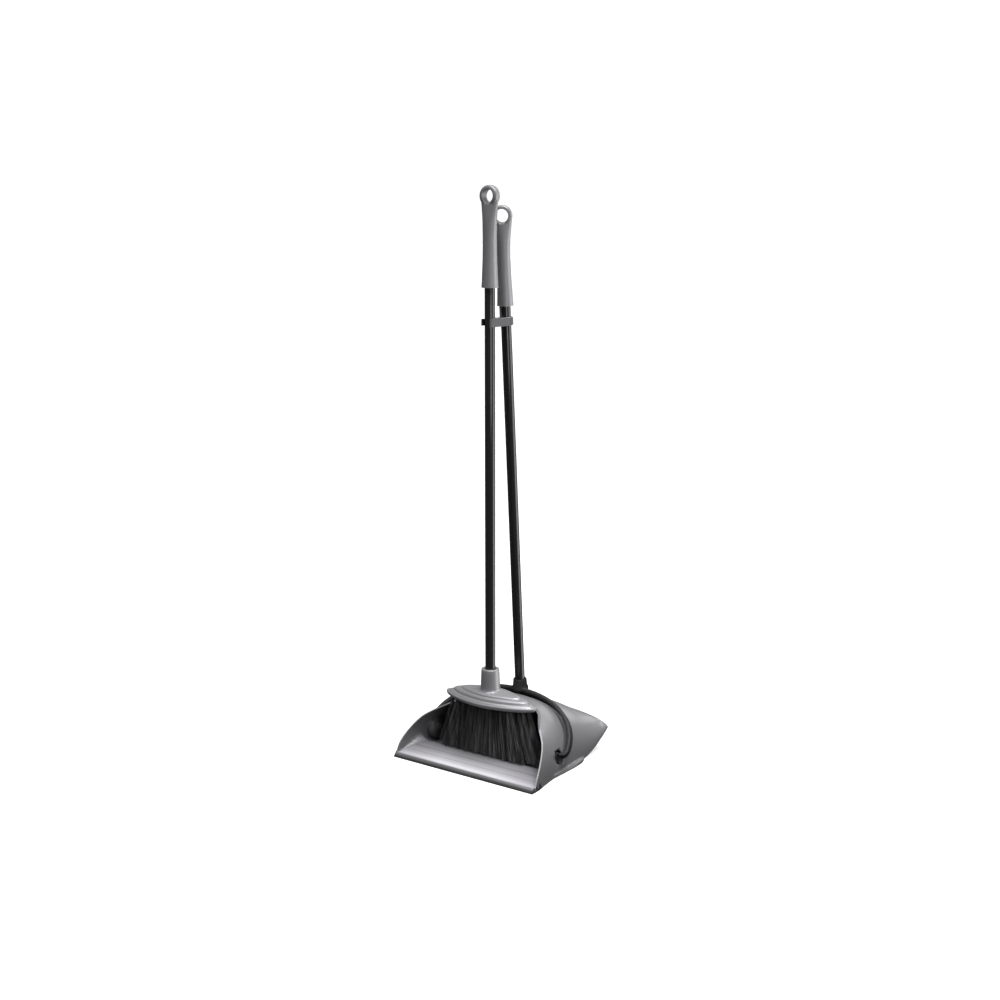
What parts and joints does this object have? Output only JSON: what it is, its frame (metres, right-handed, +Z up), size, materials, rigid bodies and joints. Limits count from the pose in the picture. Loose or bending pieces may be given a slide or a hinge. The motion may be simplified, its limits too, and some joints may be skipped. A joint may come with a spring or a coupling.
{
  "type": "dustpan and brush",
  "caption": "Upright lobby dustpan with a hooded pan, a swinging hoop handle and a broom held in a clip on the handle's pole.",
  "frame": {"origin": "on the floor, in the middle of the set's box", "axes": "+Z up along the poles, +Y to the back of the pan, X across the lip"},
  "size_m": [0.269, 0.231, 0.888],
  "materials": {
    "grey_plastic": "satin grey, slightly metallic",
    "black_plastic": "matte black",
    "gloss_black_tube": "gloss black",
    "steel": "plain",
    "black_rubber": "matte",
    "black_bristle": "fine black filaments"
  },
  "bodies": {
    "pan": {"pan_body": "grey_plastic", "lip_strip": "black_rubber", "pivot_pin_left": "black_plastic", "pivot_pin_right": "black_plastic", "pivot_cap_left": "black_plastic", "pivot_cap_right": "black_plastic"},
    "dustpan_handle": {"bail": "black_plastic", "dustpan_pole": "gloss_black_tube", "dustpan_pole_insert": "black_plastic", "dustpan_pole_plug": "black_plastic", "dustpan_grip": "grey_plastic", "clip_body": "grey_plastic", "clip_jaw_liner": "black_plastic"},
    "broom": {"broom_head_cover": "grey_plastic", "bristle_block": "black_plastic", "bristle_row_1": "black_bristle", "bristle_row_2": "black_bristle", "bristle_row_3": "black_bristle", "bristle_row_4": "black_bristle", "bristle_row_5": "black_bristle", "head_screw_left": "steel", "head_screw_right": "steel", "broom_pole": "gloss_black_tube", "broom_pole_insert": "black_plastic", "broom_pole_plug": "black_plastic", "broom_grip": "grey_plastic"}
  },
  "joints": [
    {"name": "bail_swing", "type": "hinge", "parent": "pan", "child": "dustpan_handle", "pos_m": [0, -0.0265, 0.028], "axis": [1, 0, 0], "range_deg": [0, 40]},
    {"name": "broom_tip", "type": "hinge", "parent": "pan", "child": "broom", "pos_m": [0, -0.0665, 0.0156], "axis": [1, 0, 0], "range_deg": [0, 40]}
  ],
  "couplings": [
    {"joint": "broom_tip", "follows": "bail_swing", "ratio": 1}
  ]
}
